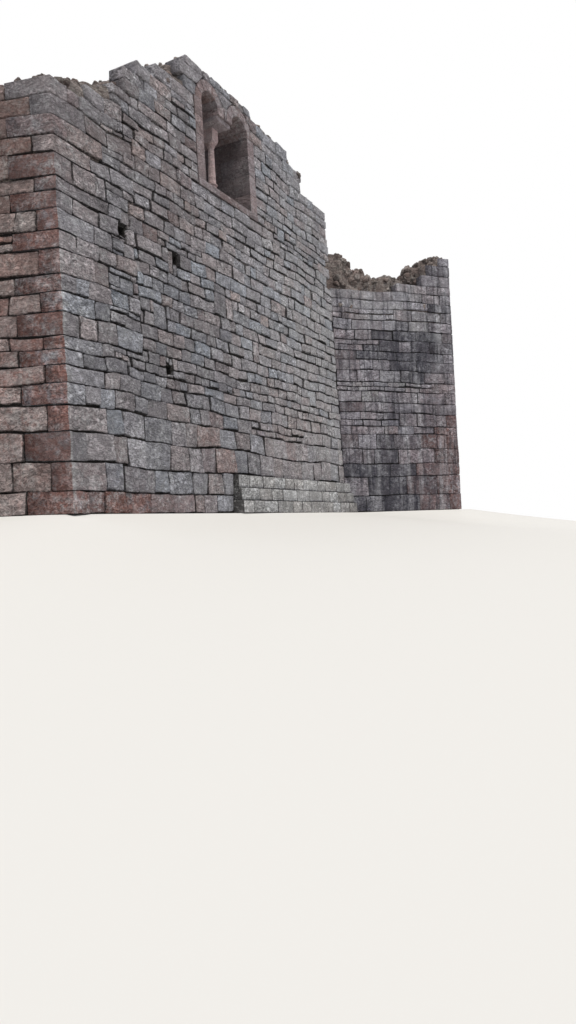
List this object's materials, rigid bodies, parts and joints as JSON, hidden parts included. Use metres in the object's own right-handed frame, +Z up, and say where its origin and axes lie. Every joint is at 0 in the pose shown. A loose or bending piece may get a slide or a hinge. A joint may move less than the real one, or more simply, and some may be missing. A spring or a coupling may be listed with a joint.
{
  "type": "ruined castle keep with a corner tower",
  "caption": "Roofless ruin of a sandstone castle keep: leaning ashlar walls with broken tops, a twin round-arched window, an upper floor on a ledge and an open-backed corner tower.",
  "frame": {"origin": "middle of the footprint's box, on the plane of the lowest foot of the walls", "axes": "+X along the front wall from the near corner to the tower, +Y from the front wall to the rear wall, +Z up"},
  "size_m": [18.9344, 10.388, 9.22],
  "materials": {
    "grey_sandstone": "rough",
    "red_sandstone": "rough",
    "purple_sandstone": "rough",
    "pale_sandstone": "rough",
    "dressed_sandstone": "matt",
    "old_oak": "weathered"
  },
  "bodies": {
    "root": {"front_plinth": "pale_sandstone", "front_wall_lower": "grey_sandstone", "front_wall_upper_left": "grey_sandstone", "front_wall_upper_right": "grey_sandstone", "front_window_breast": "grey_sandstone", "front_window_head": "grey_sandstone", "left_wall_lower": "red_sandstone", "left_wall_upper": "red_sandstone", "rear_wall_lower_left": "grey_sandstone", "rear_wall_lower_right": "grey_sandstone", "rear_wall_over_door": "grey_sandstone", "rear_wall_upper_left": "grey_sandstone", "rear_wall_upper_right": "grey_sandstone", "rear_window_breast": "grey_sandstone", "rear_window_head": "grey_sandstone", "right_wall_lower": "red_sandstone", "right_wall_upper": "red_sandstone", "tower_left_wall_lower": "purple_sandstone", "tower_left_wall_upper": "purple_sandstone", "tower_end_wall_lower": "purple_sandstone", "tower_end_wall_upper": "purple_sandstone", "tower_right_wall_lower": "purple_sandstone", "tower_right_wall_upper": "purple_sandstone", "window_sills": "dressed_sandstone", "window_jambs": "dressed_sandstone", "column_bases": "dressed_sandstone", "column_shafts": "dressed_sandstone", "column_capitals": "dressed_sandstone", "window_imposts": "dressed_sandstone", "window_arches": "dressed_sandstone", "door_threshold": "dressed_sandstone", "door_jambs": "dressed_sandstone", "door_arch": "dressed_sandstone", "floor_beams": "old_oak", "floor_boards": "old_oak", "tower_floor_beams": "old_oak", "tower_floor_boards": "old_oak"}
  },
  "joints": []
}
